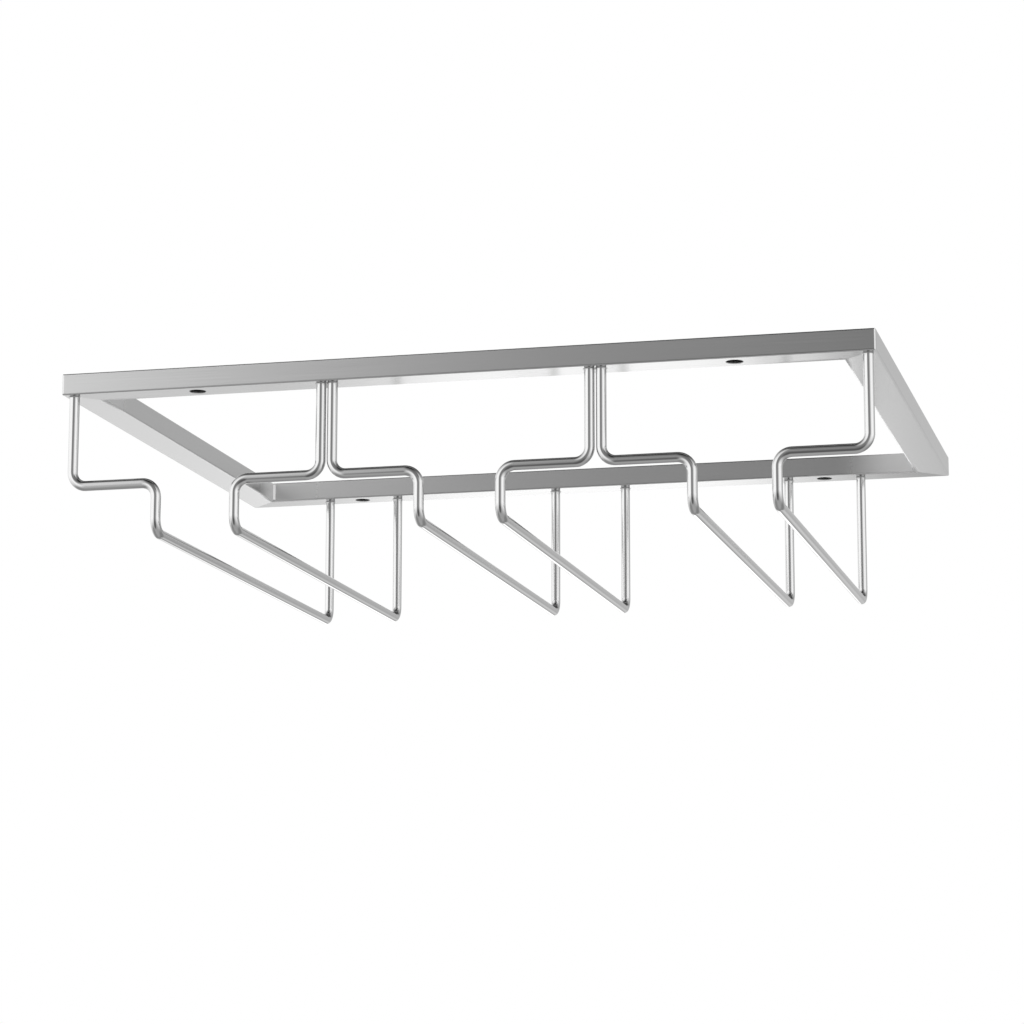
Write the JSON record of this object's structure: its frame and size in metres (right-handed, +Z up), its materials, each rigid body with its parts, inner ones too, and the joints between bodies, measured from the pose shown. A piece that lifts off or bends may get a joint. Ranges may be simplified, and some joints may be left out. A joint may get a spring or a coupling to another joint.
{
  "type": "hanging wine glass rack",
  "caption": "Rectangular tube frame that screws up under a shelf, with bent wires below it that form tracks, which hold wine glasses upside down by their feet.",
  "frame": {"origin": "centre of the frame's top face, which lies against the shelf, and so the centre of the four screw holes", "axes": "+Z up into the shelf, +X to the right along the long front rail, +Y to the back, away from the side where the glasses go in"},
  "size_m": [0.4, 0.3, 0.082],
  "materials": {
    "satin_frame_steel": "satin, brushed along each rail",
    "weld_steel": "polished weld",
    "bright_wire_steel": "bright drawn and polished"
  },
  "bodies": {
    "root": {"front_rail": "satin_frame_steel", "back_rail": "satin_frame_steel", "left_rail": "satin_frame_steel", "right_rail": "satin_frame_steel", "front_left_corner_weld": "weld_steel", "front_right_corner_weld": "weld_steel", "back_left_corner_weld": "weld_steel", "back_right_corner_weld": "weld_steel", "track_1_left_wire": "bright_wire_steel", "track_1_right_wire": "bright_wire_steel", "track_2_left_wire": "bright_wire_steel", "track_2_right_wire": "bright_wire_steel", "track_3_left_wire": "bright_wire_steel", "track_3_right_wire": "bright_wire_steel"}
  },
  "joints": []
}
